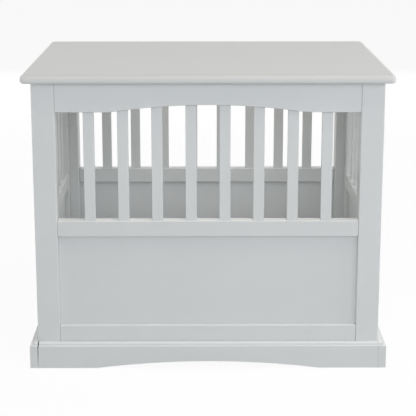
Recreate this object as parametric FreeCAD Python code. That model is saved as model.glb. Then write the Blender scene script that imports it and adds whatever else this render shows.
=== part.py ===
"""Dog crate end table: a slatted, framed and panelled crate under a table top, with a side door.

The frame of reference: X runs along the front (left to right), Y runs from front to back, Z is up.
The origin is on the floor, under the middle of the table. All sizes are in millimetres.

Each wall is drawn as a front wall, facing -Y, and then turned about Z to its own side of the crate.
"""
import FreeCAD
import Part
import math
import os

# --- overall sizes -------------------------------------------------------------------------------
TOP_LENGTH = 610.0             # table top along X
TOP_DEPTH = 457.0              # table top along Y
TOP_THICKNESS = 15.0
TOP_OVERHANG = 16.0            # how far the top stands out past the posts, all round
TOP_CORNER_RADIUS = 9.5        # table top corners in plan
TOP_UPPER_NOSE = 8.5           # bullnose radius, upper edge
TOP_LOWER_NOSE = 5.0           # bullnose radius, lower edge
NOSE_FLAT = 0.5                # least flat left between the two, and beside the corners
TABLE_HEIGHT = 502.0

# --- timber sections -----------------------------------------------------------------------------
POST_SIZE = 38.0
POST_EASING = 1.6              # rounding of a post's long edges
RAIL_THICKNESS = 20.0
RAIL_EASING = 1.2
RAIL_END_EASING = 0.8          # rounding round a rail's end, where it meets a post or stile
FRAME_SETBACK = 0.6            # a frame's face lies this far behind the posts' faces
TOP_RAIL_HEIGHT = 49.0
ARCH_RISE = 12.0               # how far the top rail's lower edge rises in the middle
ARCH_HALF_SPAN = 172.0         # from the middle to where the curve starts
ARCH_SHOULDER_RADIUS = 160.0   # reverse curve at each end of the arch
MID_RAIL_HEIGHT = 27.0
PANEL_OPENING_HEIGHT = 156.0   # clear height between the bottom rail and the mid rail
BOTTOM_RAIL_TOP = 71.6
BOTTOM_RAIL_FOOT = 20.0        # the bottom rails stop this far above the floor

# --- slats and panels ----------------------------------------------------------------------------
SLAT_WIDTH = 18.0
SLAT_THICKNESS = 9.6
SLAT_EASING = 0.9
SLAT_HOUSING = 8.0             # how deep a slat's end is let into a rail
HOUSING_FIT = 0.1              # play round a slat's end in its housing
FRONT_SLATS = 8
FRONT_END_GAP = 45.3           # from a post to the nearest slat
END_SLATS = 5                  # evenly spaced in each end frame
PANEL_THICKNESS = 4.5
PANEL_RECESS = 8.0             # from a frame's face to its panel's face
GROOVE_DEPTH = 6.0
GROOVE_FIT = 0.1               # play on each face of a panel in its groove
PANEL_EXPANSION = 0.6          # room at a panel's upper and side edges

# --- end frames and door -------------------------------------------------------------------------
STILE_WIDTH = 28.0
TENON_LENGTH = 10.0
TENON_THICKNESS = 7.0
TENON_SHOULDER = 4.0           # a tenon is this much less high than its rail, above and below
TENON_FIT = 0.1
DOOR_GAP = 2.0                 # clear gap round the door
HEADER_HEIGHT = 20.0           # fixed rail over the door
DOOR_STOP_GAP = 0.3            # door's inner face to the stop strip
STOP_DEPTH = 12.0              # stop strip, square to the door
STOP_HEIGHT = 32.0
STOP_END_ROOM = 4.0            # from the stop strip's ends to the posts

# --- plinth --------------------------------------------------------------------------------------
PLINTH_THICKNESS = 13.0
PLINTH_HEIGHT = 43.5
OVOLO_RADIUS = 3.5             # quarter round next to the posts
OVOLO_STEP = 0.7               # small upright step under it
OVOLO_SET_OUT = 4.0            # flat between the posts and the quarter round
PLINTH_EDGE_RADIUS = 1.2
PLINTH_FOOT_LENGTH = 113.0     # straight foot at each end of a side of the plinth
PLINTH_ARCH_RISE = 12.0
PLINTH_JOINT_GAP = 0.25        # open joint between a long board's ends and the side boards
PLINTH_JOINT_TAPER = 1.5       # one end is cut out of square: its joint gapes this much more at the top

# --- floor ---------------------------------------------------------------------------------------
FLOOR_THICKNESS = 9.0
FLOOR_FIT = 0.5                # room between the floor board and what is round it
CLEAT_HEIGHT = 14.0
CLEAT_DEPTH = 16.0
CLEAT_END_ROOM = 6.0
CLEAT_SCREW_SPACING = 170.0

# --- dowels --------------------------------------------------------------------------------------
DOWEL_RADIUS = 4.0
DOWEL_HALF_LENGTH = 15.0       # half in the rail, half in the post
DOWEL_HOLE_FIT = 0.05
DOWEL_END_ROOM = 1.0
DOWEL_EDGE = 12.0              # from a rail's edge to a dowel's centre
MID_DOWEL_CLEARANCE = 2.5      # from the panel's groove to the dowel above it

# --- hinges --------------------------------------------------------------------------------------
HINGE_HEIGHT = 50.0
HINGE_END_DISTANCE = 50.0      # from the door's ends to the hinges' nearer ends
HINGE_LEAF_WIDTH = 18.0        # from the pin's axis
HINGE_LEAF_THICKNESS = 1.5
HINGE_LEAF_PROUD = 0.5         # a leaf stands this far out of its recess into the gap
HINGE_PIN_OFFSET = 3.0         # pin axis outside the posts' face
HINGE_BARREL_RADIUS = 2.6
HINGE_PIN_RADIUS = 1.2
HINGE_FIXED_FIT = 0.02         # pin in the post leaf
HINGE_RUNNING_FIT = 0.06       # pin in the door leaf
HINGE_KNUCKLE_GAP = 0.3
HINGE_PIN_HEAD = 0.8           # the pin's head is this much wider than the pin
HINGE_RECESS_FIT = 0.05
HINGE_SCREW_PARTS = (0.16, 0.5, 0.84)   # screws' places along a leaf's height

# --- slide bolt ----------------------------------------------------------------------------------
LATCH_TRAVEL = 16.0
LATCH_PLATE_THICKNESS = 1.5
LATCH_PLATE_HEIGHT = 20.0
LATCH_PLATE_END = 3.5          # from the plate's end to the door's edge
LATCH_PLATE_TAIL = 9.0         # plate behind the rear guide
LATCH_SCREW_INSET = 4.5        # from the plate's ends to its screws
LATCH_SCREW_SPACING = 12.6
LATCH_CORNER_RADIUS = 2.0
BOLT_RADIUS = 3.0
BOLT_LENGTH = 71.0
BOLT_SETBACK = 1.5             # retracted bolt's end inside the door's edge
BOLT_STAND_OFF = 4.0           # bolt's axis outside the plate's face
BOLT_RUNNING_FIT = 0.08
BOLT_END_CHAMFER = 0.8
GUIDE_WALL = 1.6
GUIDE_LENGTH = 8.0
FRONT_GUIDE_SETBACK = 12.5     # from the door's edge to the nearer guide
KNOB_REAR_ROOM = 2.5           # from the rear guide to the knob's axis, bolt drawn back
KNOB_FRONT_ROOM = 7.5          # from the knob's axis to the front guide, bolt shot
KNOB_STEM_RADIUS = 1.8
KNOB_FIT = 0.02
KNOB_HEAD_RADIUS = 4.0
KNOB_HEAD_THICKNESS = 4.0
KNOB_REACH = 9.5               # from the bolt's axis to the knob's outer face
KNOB_ROUNDING = 1.4            # of the head's rims
KNOB_STEM_COVER = 1.0          # the stem ends this far below the head's outer face
KEEPER_HOLE_FIT = 0.6
KEEPER_LENGTH = 11.0
KEEPER_HEIGHT = 36.0
KEEPER_SET_IN = 2.0            # from the post's edge to the keeper
KEEPER_SCREW_SPACING = 25.0

# --- angle brackets ------------------------------------------------------------------------------
BRACKET_LEG = 28.0
BRACKET_WIDTH = 18.0
BRACKET_THICKNESS = 2.5
BRACKET_SLAT_BAYS = 3          # slat pitches from the middle to each bracket
BRACKET_SCREW_SPACING = 11.0

# --- screws: shank radius, head radius, head height, length under the head ------------------------
HINGE_SCREW = (1.4, 2.6, 1.1, 15.0)
LATCH_SCREW = (1.4, 2.5, 1.1, 11.0)
BRACKET_SCREW = (1.7, 3.2, 1.8, 9.0)
CLEAT_SCREW = (1.9, 3.6, 2.2, 24.0)
SCREW_FIT = 0.03               # play of a shank in its hole, and of a head in its sinking
DRIVER_SLOT_WIDTH = 0.7
DRIVER_SLOT_DEPTH = 0.5
PAN_HEAD_ROUNDING = 0.6        # rounding of a pan head's rim, as a part of its height

# --- places worked out from the sizes above -------------------------------------------------------
BODY_X = TOP_LENGTH / 2 - TOP_OVERHANG
BODY_Y = TOP_DEPTH / 2 - TOP_OVERHANG
POST_TOP = TABLE_HEIGHT - TOP_THICKNESS
POST_INNER_X = BODY_X - POST_SIZE
POST_INNER_Y = BODY_Y - POST_SIZE
FRONT_SLAT_PITCH = (2 * (POST_INNER_X - FRONT_END_GAP) - SLAT_WIDTH) / (FRONT_SLATS - 1)
FRAME_INNER = FRAME_SETBACK + RAIL_THICKNESS         # depth of a frame's inner face
FRAME_MIDDLE = FRAME_SETBACK + RAIL_THICKNESS / 2    # depth of a frame's middle plane
MID_RAIL_FOOT = BOTTOM_RAIL_TOP + PANEL_OPENING_HEIGHT
MID_RAIL_TOP = MID_RAIL_FOOT + MID_RAIL_HEIGHT
TOP_RAIL_FOOT = POST_TOP - TOP_RAIL_HEIGHT
FLOOR_TOP = PLINTH_HEIGHT
DOOR_FOOT = PLINTH_HEIGHT + DOOR_GAP
HEADER_FOOT = POST_TOP - HEADER_HEIGHT
DOOR_TOP = HEADER_FOOT - DOOR_GAP
DOOR_HALF_WIDTH = POST_INNER_Y - DOOR_GAP
DOOR_THICKNESS = RAIL_THICKNESS - DOOR_STOP_GAP
HINGE_AXIS_X = BODY_X + HINGE_PIN_OFFSET
HINGE_AXIS_Y = -POST_INNER_Y + DOOR_GAP / 2
LATCH_Z = MID_RAIL_FOOT + MID_RAIL_HEIGHT / 2
DOOR_FACE_X = BODY_X - FRAME_SETBACK
PLATE_TOP_X = DOOR_FACE_X + LATCH_PLATE_THICKNESS
BOLT_AXIS_X = PLATE_TOP_X + BOLT_STAND_OFF

# how far each wall is turned from the front, in degrees about Z
FRONT_TURN = 0
RIGHT_TURN = 90
BACK_TURN = 180
LEFT_TURN = 270

X_AXIS = FreeCAD.Vector(1, 0, 0)
Y_AXIS = FreeCAD.Vector(0, 1, 0)
Z_AXIS = FreeCAD.Vector(0, 0, 1)
ORIGIN = FreeCAD.Vector(0, 0, 0)
CUT_MARGIN = 1.0               # how far a cutter runs on past the face that it opens


def vec(x, y, z):
    return FreeCAD.Vector(x, y, z)


def block(x0, x1, y0, y1, z0, z1):
    """A box from its limits along each axis."""
    return Part.makeBox(x1 - x0, y1 - y0, z1 - z0, vec(x0, y0, z0))


def rod(radius, start, direction, length):
    return Part.makeCylinder(radius, length, start, direction)


def runs_along(edge, axis):
    """True for a straight edge parallel to the axis."""
    if not isinstance(edge.Curve, (Part.Line, Part.LineSegment)):
        return False
    run = edge.Vertexes[-1].Point - edge.Vertexes[0].Point
    return run.Length > 0 and abs(abs(run.dot(axis)) - run.Length) < 1e-6


def eased(shape, radius, axis):
    """Round the long edges that run along one axis."""
    edges = [edge for edge in shape.Edges if runs_along(edge, axis)]
    return shape.makeFillet(radius, edges)


def turned(shape, degrees):
    """A copy of a piece, turned about Z from the front wall to another wall."""
    copy = shape.copy()
    copy.rotate(ORIGIN, Z_AXIS, degrees)
    return copy


def cut_by(shape, cutters):
    """Cut a piece by those cutters that come near it."""
    limits = shape.BoundBox
    near = [cutter for cutter in cutters if limits.intersect(cutter.BoundBox)]
    return shape.cut(near) if near else shape


# --- screws ---------------------------------------------------------------------------------------
def countersunk_screw(seat, direction, spec):
    """A screw whose flat head ends at the seat point; direction points into the work."""
    shank, head, head_height, length = spec
    cone = Part.makeCone(head, shank, head_height, seat, direction)
    body = rod(shank, seat, direction, head_height + length)
    return slotted(cone.fuse(body), seat, direction, head)


def pan_screw(seat, direction, spec):
    """A screw whose domed head stands on the seat point; direction points into the work."""
    shank, head, head_height, length = spec
    back = seat - direction * head_height
    cap = rod(head, back, direction, head_height)
    rim = [edge for edge in cap.Edges if edge.isClosed() and edge.CenterOfMass.isEqual(back, 1e-4)]
    cap = cap.makeFillet(head_height * PAN_HEAD_ROUNDING, rim)
    body = rod(shank, seat, direction, length)
    return slotted(cap.fuse(body), back, direction, head)


def slotted(screw, face_point, direction, head_radius):
    """Cut the driver slot across a screw's head."""
    side = Z_AXIS if abs(direction.z) < 0.5 else X_AXIS
    across = direction.cross(side)
    corner = face_point - side * (DRIVER_SLOT_WIDTH / 2) - across * (head_radius * 2)
    profile = Part.makePolygon([
        corner,
        corner + side * DRIVER_SLOT_WIDTH,
        corner + side * DRIVER_SLOT_WIDTH + across * (head_radius * 4),
        corner + across * (head_radius * 4),
        corner,
    ])
    return screw.cut(Part.Face(profile).extrude(direction * DRIVER_SLOT_DEPTH))


def screw_hole(seat, direction, spec, sunk):
    """What a screw needs cut away: its shank, and its head where that is sunk."""
    shank, head, head_height, length = spec
    depth = length + (head_height if sunk else 0) + SCREW_FIT
    hole = rod(shank + SCREW_FIT, seat, direction, depth)
    if sunk:
        cone = Part.makeCone(head + SCREW_FIT, shank + SCREW_FIT, head_height, seat, direction)
        hole = hole.fuse(cone)
    return hole


# --- dowels ---------------------------------------------------------------------------------------
def dowel(joint_point, direction):
    start = joint_point - direction * DOWEL_HALF_LENGTH
    return rod(DOWEL_RADIUS, start, direction, 2 * DOWEL_HALF_LENGTH)


def dowel_hole(joint_point, direction):
    half = DOWEL_HALF_LENGTH + DOWEL_END_ROOM
    start = joint_point - direction * half
    return rod(DOWEL_RADIUS + DOWEL_HOLE_FIT, start, direction, 2 * half)


def wall_dowels(turn, wall_distance, half_opening, heights):
    """Dowel places at both ends of a wall's rails or stiles: (point, direction) pairs."""
    places = []
    turning = FreeCAD.Rotation(Z_AXIS, turn)
    for height in heights:
        for side in (-1, 1):
            point = vec(side * half_opening, -wall_distance + FRAME_MIDDLE, height)
            places.append((turning.multVec(point), turning.multVec(X_AXIS)))
    return places


MID_DOWEL_Z = MID_RAIL_FOOT + GROOVE_DEPTH + DOWEL_RADIUS + MID_DOWEL_CLEARANCE
LONG_WALL_HEIGHTS = (
    BOTTOM_RAIL_FOOT + DOWEL_EDGE,
    BOTTOM_RAIL_TOP - GROOVE_DEPTH - DOWEL_EDGE,
    MID_DOWEL_Z,
    TOP_RAIL_FOOT + DOWEL_EDGE,
    POST_TOP - DOWEL_EDGE,
)
END_WALL_HEIGHTS = (
    BOTTOM_RAIL_FOOT + DOWEL_EDGE,
    MID_DOWEL_Z,
    POST_TOP - DOWEL_EDGE,
)
SILL_HEIGHTS = ((BOTTOM_RAIL_FOOT + PLINTH_HEIGHT) / 2,)
HEADER_HEIGHTS = ((HEADER_FOOT + POST_TOP) / 2,)

DOWEL_PLACES = (
    wall_dowels(FRONT_TURN, BODY_Y, POST_INNER_X, LONG_WALL_HEIGHTS)
    + wall_dowels(BACK_TURN, BODY_Y, POST_INNER_X, LONG_WALL_HEIGHTS)
    + wall_dowels(LEFT_TURN, BODY_X, POST_INNER_Y, END_WALL_HEIGHTS)
    + wall_dowels(RIGHT_TURN, BODY_X, POST_INNER_Y, SILL_HEIGHTS + HEADER_HEIGHTS)
)
DOWEL_HOLES = [dowel_hole(point, direction) for point, direction in DOWEL_PLACES]


def drilled(shape):
    return cut_by(shape, DOWEL_HOLES)


# --- table top ------------------------------------------------------------------------------------
def table_top():
    half_x = TOP_LENGTH / 2
    half_y = TOP_DEPTH / 2
    board = block(-half_x, half_x, -half_y, half_y, POST_TOP, TABLE_HEIGHT)
    board = eased(board, TOP_CORNER_RADIUS, Z_AXIS)
    # on a thinner board both rounds shrink, and neither is larger than the corner that it runs round
    shrink = min(1.0, (TOP_THICKNESS - NOSE_FLAT) / (TOP_UPPER_NOSE + TOP_LOWER_NOSE))
    limit = TOP_CORNER_RADIUS - NOSE_FLAT
    upper = min(TOP_UPPER_NOSE * shrink, limit)
    lower = min(TOP_LOWER_NOSE * shrink, limit)
    for level, radius in ((TABLE_HEIGHT, upper), (POST_TOP, lower)):
        rim = [edge for edge in board.Edges
               if abs(edge.BoundBox.ZMin - level) < 1e-6 and abs(edge.BoundBox.ZMax - level) < 1e-6]
        board = board.makeFillet(radius, rim)
    return board


# --- slats ----------------------------------------------------------------------------------------
def slat(centre, wall_distance, foot, top, play):
    """A slat, or its housing when play is given, in the middle of a wall's thickness."""
    half_width = SLAT_WIDTH / 2 + play
    half_thick = SLAT_THICKNESS / 2 + play
    middle = -wall_distance + FRAME_MIDDLE
    return block(centre - half_width, centre + half_width,
                 middle - half_thick, middle + half_thick, foot, top)


def slat_centres(count, pitch):
    return [(index - (count - 1) / 2) * pitch for index in range(count)]


FRONT_SLAT_CENTRES = slat_centres(FRONT_SLATS, FRONT_SLAT_PITCH)
END_WINDOW = 2 * (DOOR_HALF_WIDTH - STILE_WIDTH)
END_SLAT_GAP = (END_WINDOW - END_SLATS * SLAT_WIDTH) / (END_SLATS + 1)
END_SLAT_CENTRES = slat_centres(END_SLATS, SLAT_WIDTH + END_SLAT_GAP)
SLAT_FOOT = MID_RAIL_TOP - SLAT_HOUSING
FRONT_SLAT_TOP = TOP_RAIL_FOOT + ARCH_RISE + SLAT_HOUSING


def wall_slats(centres, wall_distance, top):
    return [eased(slat(centre, wall_distance, SLAT_FOOT, top, 0), SLAT_EASING, Z_AXIS)
            for centre in centres]


def slat_housings(centres, wall_distance, foot, top):
    return [slat(centre, wall_distance, foot, top, HOUSING_FIT) for centre in centres]


# --- panels and their grooves ---------------------------------------------------------------------
def panel_block(half_opening, wall_distance, side_play, face_play, top_play):
    """A panel with its tongue in the grooves round it, or the groove space itself."""
    reach = half_opening + GROOVE_DEPTH - side_play
    face = -wall_distance + FRAME_SETBACK + PANEL_RECESS
    return block(-reach, reach, face - face_play, face + PANEL_THICKNESS + face_play,
                 BOTTOM_RAIL_TOP - GROOVE_DEPTH, MID_RAIL_FOOT + GROOVE_DEPTH - top_play)


def panel(half_opening, wall_distance):
    return panel_block(half_opening, wall_distance, PANEL_EXPANSION, 0, PANEL_EXPANSION)


def panel_groove(half_opening, wall_distance):
    return panel_block(half_opening, wall_distance, 0, GROOVE_FIT, 0)


FRONT_GROOVE = panel_groove(POST_INNER_X, BODY_Y)
BACK_GROOVE = turned(FRONT_GROOVE, BACK_TURN)


# --- front and back walls, between the posts -------------------------------------------------------
def rail(half_length, wall_distance, foot, top):
    """A straight rail with its long edges eased."""
    face = -wall_distance + FRAME_SETBACK
    bar = block(-half_length, half_length, face, face + RAIL_THICKNESS, foot, top)
    return eased(eased(bar, RAIL_EASING, X_AXIS), RAIL_END_EASING, Z_AXIS)


def arched_top_rail():
    """The top rail: its lower edge is flat, swings up in a reverse curve and arches over the middle."""
    turn_angle = 2 * math.atan(ARCH_RISE / ARCH_HALF_SPAN)
    crown_radius = ARCH_HALF_SPAN / math.sin(turn_angle) - ARCH_SHOULDER_RADIUS
    crown = TOP_RAIL_FOOT + ARCH_RISE
    face = -BODY_Y + FRAME_SETBACK
    end = POST_INNER_X

    def shoulder(angle, side):
        return vec(side * (ARCH_HALF_SPAN - ARCH_SHOULDER_RADIUS * math.sin(angle)), face,
                   TOP_RAIL_FOOT + ARCH_SHOULDER_RADIUS * (1 - math.cos(angle)))

    corners = [vec(-end, face, TOP_RAIL_FOOT), vec(-end, face, POST_TOP),
               vec(end, face, POST_TOP), vec(end, face, TOP_RAIL_FOOT)]
    left_start, left_half, left_end = (shoulder(turn_angle * part, -1) for part in (0, 0.5, 1))
    right_start, right_half, right_end = (shoulder(turn_angle * part, 1) for part in (0, 0.5, 1))
    top_of_arch = vec(0, face, crown)
    outline = Part.Wire([
        Part.makeLine(corners[0], corners[1]),
        Part.makeLine(corners[1], corners[2]),
        Part.makeLine(corners[2], corners[3]),
        Part.makeLine(corners[3], right_start),
        Part.Arc(right_start, right_half, right_end).toShape(),
        Part.Arc(right_end, top_of_arch, left_end).toShape(),
        Part.Arc(left_end, left_half, left_start).toShape(),
        Part.makeLine(left_start, corners[0]),
    ])
    print("top rail arch: crown radius %.1f, shoulder radius %.1f" % (crown_radius, ARCH_SHOULDER_RADIUS))
    bar = Part.Face(outline).extrude(Y_AXIS * RAIL_THICKNESS)
    middle_z = (TOP_RAIL_FOOT + POST_TOP) / 2
    lower_edges = [edge for edge in bar.Edges
                   if edge.BoundBox.ZMax < middle_z and edge.BoundBox.YLength < 1e-6]
    bar = eased(bar.makeFillet(RAIL_EASING, lower_edges), RAIL_END_EASING, Z_AXIS)
    return bar.cut(slat_housings(FRONT_SLAT_CENTRES, BODY_Y, TOP_RAIL_FOOT - CUT_MARGIN, FRONT_SLAT_TOP))


def front_mid_rail():
    bar = rail(POST_INNER_X, BODY_Y, MID_RAIL_FOOT, MID_RAIL_TOP)
    housings = slat_housings(FRONT_SLAT_CENTRES, BODY_Y, SLAT_FOOT, MID_RAIL_TOP + CUT_MARGIN)
    return bar.cut(housings + [FRONT_GROOVE])


def front_bottom_rail():
    bar = rail(POST_INNER_X, BODY_Y, BOTTOM_RAIL_FOOT, BOTTOM_RAIL_TOP)
    return bar.cut(FRONT_GROOVE)


# --- end frames: the fixed left one and the door ---------------------------------------------------
def tenon(side, half_window, foot, top, thickness, play):
    """A rail's stub tenon, or its mortise when play is given."""
    middle = -BODY_X + FRAME_SETBACK + thickness / 2
    half = TENON_THICKNESS / 2 + play
    ends = sorted((side * half_window, side * (half_window + TENON_LENGTH + play)))
    return block(ends[0], ends[1], middle - half, middle + half,
                 foot + TENON_SHOULDER - play, top - TENON_SHOULDER + play)


def end_frame(half_width, stile_width, foot, top, top_rail_foot, thickness):
    """Rails, stiles, panel and slats of an end frame, drawn as a front wall at the end's distance."""
    half_window = half_width - stile_width
    face = -BODY_X + FRAME_SETBACK
    groove = panel_groove(half_window, BODY_X)
    levels = {
        "top_rail": (top_rail_foot, top),
        "mid_rail": (MID_RAIL_FOOT, MID_RAIL_TOP),
        "bottom_rail": (foot, BOTTOM_RAIL_TOP),
    }
    upper = slat_housings(END_SLAT_CENTRES, BODY_X, top_rail_foot - CUT_MARGIN,
                          top_rail_foot + SLAT_HOUSING)
    lower = slat_housings(END_SLAT_CENTRES, BODY_X, SLAT_FOOT, MID_RAIL_TOP + CUT_MARGIN)
    cutters = {
        "top_rail": upper,
        "mid_rail": lower + [groove],
        "bottom_rail": [groove],
    }
    pieces = {}
    mortises = []
    for name, (low, high) in levels.items():
        bar = block(-half_window, half_window, face, face + thickness, low, high)
        bar = eased(eased(bar, RAIL_EASING, X_AXIS), RAIL_END_EASING, Z_AXIS)
        tongues = [tenon(side, half_window, low, high, thickness, 0) for side in (-1, 1)]
        mortises += [tenon(side, half_window, low, high, thickness, TENON_FIT) for side in (-1, 1)]
        # the tongues keep clear of the panel's groove, which runs on into the stiles
        pieces[name] = bar.fuse(tongues).removeSplitter().cut(cutters[name])
    for name, side in (("stile_left", -1), ("stile_right", 1)):
        ends = sorted((side * half_window, side * half_width))
        bar = block(ends[0], ends[1], face, face + thickness, foot, top)
        bar = eased(bar, RAIL_EASING, Z_AXIS)
        pieces[name] = bar.cut(mortises + [groove])
    pieces["panel"] = panel(half_window, BODY_X)
    pieces["slats"] = wall_slats(END_SLAT_CENTRES, BODY_X, top_rail_foot + SLAT_HOUSING)
    return pieces


# --- rails over and under the door, and its stop ---------------------------------------------------
def door_header():
    return turned(rail(POST_INNER_Y, BODY_X, HEADER_FOOT, POST_TOP), RIGHT_TURN)


def door_sill():
    return turned(rail(POST_INNER_Y, BODY_X, BOTTOM_RAIL_FOOT, PLINTH_HEIGHT), RIGHT_TURN)


def door_stop():
    """A strip on the header's inner face that hangs down behind the door's top rail."""
    reach = POST_INNER_Y - STOP_END_ROOM
    inner = BODY_X - FRAME_INNER
    strip = block(inner - STOP_DEPTH, inner, -reach, reach, POST_TOP - STOP_HEIGHT, POST_TOP)
    return eased(strip, RAIL_EASING, Y_AXIS)


# --- plinth ---------------------------------------------------------------------------------------
def plinth_outline(inner):
    """The plinth's section in the YZ plane, from y = inner out to the face, for a front board."""
    out = -BODY_Y
    ledge = PLINTH_HEIGHT - OVOLO_RADIUS - OVOLO_STEP
    face = out - PLINTH_THICKNESS
    ovolo_start = out - OVOLO_SET_OUT
    ovolo_end = ovolo_start - OVOLO_RADIUS
    diagonal = math.sqrt(0.5)
    ovolo_mid = vec(0, ovolo_start - OVOLO_RADIUS * diagonal,
                    PLINTH_HEIGHT - OVOLO_RADIUS * (1 - diagonal))
    edge_mid = vec(0, face + PLINTH_EDGE_RADIUS * (1 - diagonal),
                   ledge - PLINTH_EDGE_RADIUS * (1 - diagonal))
    foot_inner = vec(0, inner, 0)
    foot_outer = vec(0, face, 0)
    face_top = vec(0, face, ledge - PLINTH_EDGE_RADIUS)
    ledge_outer = vec(0, face + PLINTH_EDGE_RADIUS, ledge)
    ledge_inner = vec(0, ovolo_end, ledge)
    step_top = vec(0, ovolo_end, ledge + OVOLO_STEP)
    flat_outer = vec(0, ovolo_start, PLINTH_HEIGHT)
    flat_inner = vec(0, inner, PLINTH_HEIGHT)
    return [
        Part.makeLine(foot_inner, foot_outer),
        Part.makeLine(foot_outer, face_top),
        Part.Arc(face_top, edge_mid, ledge_outer).toShape(),
        Part.makeLine(ledge_outer, ledge_inner),
        Part.makeLine(ledge_inner, step_top),
        Part.Arc(step_top, ovolo_mid, flat_outer).toShape(),
        Part.makeLine(flat_outer, flat_inner),
        Part.makeLine(flat_inner, foot_inner),
    ]


def plinth_arch(half_span):
    """A long cylinder along Y whose top cuts the shallow arch in a board's lower edge."""
    radius = (half_span ** 2 + PLINTH_ARCH_RISE ** 2) / (2 * PLINTH_ARCH_RISE)
    reach = TOP_DEPTH + TOP_LENGTH
    return rod(radius, vec(0, -reach, PLINTH_ARCH_RISE - radius), Y_AXIS, 2 * reach)


def front_plinth():
    section = Part.Face(Part.Wire(plinth_outline(-BODY_Y)))
    half_length = BODY_X - PLINTH_JOINT_GAP
    board = section.extrude(X_AXIS * (2 * half_length))
    board.translate(vec(-half_length, 0, 0))
    half_span = BODY_X + PLINTH_THICKNESS - PLINTH_FOOT_LENGTH
    # the sliver that the saw took off the left end, widest at the top
    behind = -BODY_Y + CUT_MARGIN
    sliver = Part.Face(Part.makePolygon([
        vec(-half_length, behind, 0),
        vec(-half_length, behind, PLINTH_HEIGHT),
        vec(-half_length + PLINTH_JOINT_TAPER, behind, PLINTH_HEIGHT),
        vec(-half_length, behind, 0),
    ])).extrude(-Y_AXIS * (PLINTH_THICKNESS + 2 * CUT_MARGIN))
    return board.cut([plinth_arch(half_span), sliver])


def side_plinth():
    """The left board: it covers the front and back boards' ends, with the moulding wrapped round."""
    # the moulding along the board, drawn as a front board at the ends' distance and turned
    long_section = Part.Face(Part.Wire(plinth_outline(-BODY_Y)))
    reach = BODY_Y + PLINTH_THICKNESS
    along = long_section.extrude(X_AXIS * (2 * reach))
    along.translate(vec(-reach, BODY_Y - BODY_X, 0))
    along = turned(along, LEFT_TURN)
    # the same moulding over the board's two ends
    end_section = Part.Face(Part.Wire(plinth_outline(0)))
    front_end = end_section.extrude(X_AXIS * (4 * BODY_X))
    front_end.translate(vec(-2 * BODY_X, 0, 0))
    back_end = turned(front_end, BACK_TURN)
    board = along.common(front_end.fuse(back_end))
    half_span = reach - PLINTH_FOOT_LENGTH
    return board.cut(turned(plinth_arch(half_span), LEFT_TURN)).removeSplitter()


# --- floor ----------------------------------------------------------------------------------------
def floor_panel():
    half_x = BODY_X - FRAME_INNER - FLOOR_FIT
    half_y = BODY_Y - FRAME_INNER - FLOOR_FIT
    board = block(-half_x, half_x, -half_y, half_y, FLOOR_TOP - FLOOR_THICKNESS, FLOOR_TOP)
    notch_x = POST_INNER_X - FLOOR_FIT
    notch_y = POST_INNER_Y - FLOOR_FIT
    notches = []
    for side_x in (-1, 1):
        for side_y in (-1, 1):
            xs = sorted((side_x * notch_x, side_x * BODY_X))
            ys = sorted((side_y * notch_y, side_y * BODY_Y))
            notches.append(block(xs[0], xs[1], ys[0], ys[1], 0, TABLE_HEIGHT))
    return board.cut(notches)


def cleat_screw_places():
    """Screw heads on the front cleat's inner face, driven out towards the rail."""
    face = -BODY_Y + FRAME_INNER + CLEAT_DEPTH
    height = FLOOR_TOP - FLOOR_THICKNESS - CLEAT_HEIGHT / 2
    return [(vec(step * CLEAT_SCREW_SPACING, face, height), -Y_AXIS) for step in (-1, 0, 1)]


def front_cleat():
    half = POST_INNER_X - CLEAT_END_ROOM
    inner = -BODY_Y + FRAME_INNER
    top = FLOOR_TOP - FLOOR_THICKNESS
    strip = block(-half, half, inner, inner + CLEAT_DEPTH, top - CLEAT_HEIGHT, top)
    return strip.cut([screw_hole(seat, way, CLEAT_SCREW, True) for seat, way in cleat_screw_places()])


# --- angle brackets under the table top ------------------------------------------------------------
def bracket_centres():
    return [side * BRACKET_SLAT_BAYS * FRONT_SLAT_PITCH for side in (-1, 1)]


def bracket_screw_places(wall):
    """(seat, direction) of the screws in the front wall's brackets: into the rail or into the top."""
    inner = -BODY_Y + FRAME_INNER
    places = []
    for centre in bracket_centres():
        for step in (-0.5, 0.5):
            along = BRACKET_THICKNESS / 2 + BRACKET_LEG / 2 + step * BRACKET_SCREW_SPACING
            if wall:
                seat = vec(centre, inner + BRACKET_THICKNESS, POST_TOP - along)
                places.append((seat, -Y_AXIS))
            else:
                seat = vec(centre, inner + along, POST_TOP - BRACKET_THICKNESS)
                places.append((seat, Z_AXIS))
    return places


def front_brackets():
    inner = -BODY_Y + FRAME_INNER
    brackets = []
    holes = [screw_hole(seat, way, BRACKET_SCREW, False)
             for seat, way in bracket_screw_places(True) + bracket_screw_places(False)]
    for centre in bracket_centres():
        x0 = centre - BRACKET_WIDTH / 2
        x1 = centre + BRACKET_WIDTH / 2
        upright = block(x0, x1, inner, inner + BRACKET_THICKNESS, POST_TOP - BRACKET_LEG, POST_TOP)
        level = block(x0, x1, inner, inner + BRACKET_LEG, POST_TOP - BRACKET_THICKNESS, POST_TOP)
        brackets.append(upright.fuse(level).removeSplitter().cut(holes))
    return brackets


# --- hinges ---------------------------------------------------------------------------------------
def hinge_feet():
    """Lower ends of the two hinges."""
    return [DOOR_FOOT + HINGE_END_DISTANCE, DOOR_TOP - HINGE_END_DISTANCE - HINGE_HEIGHT]


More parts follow.
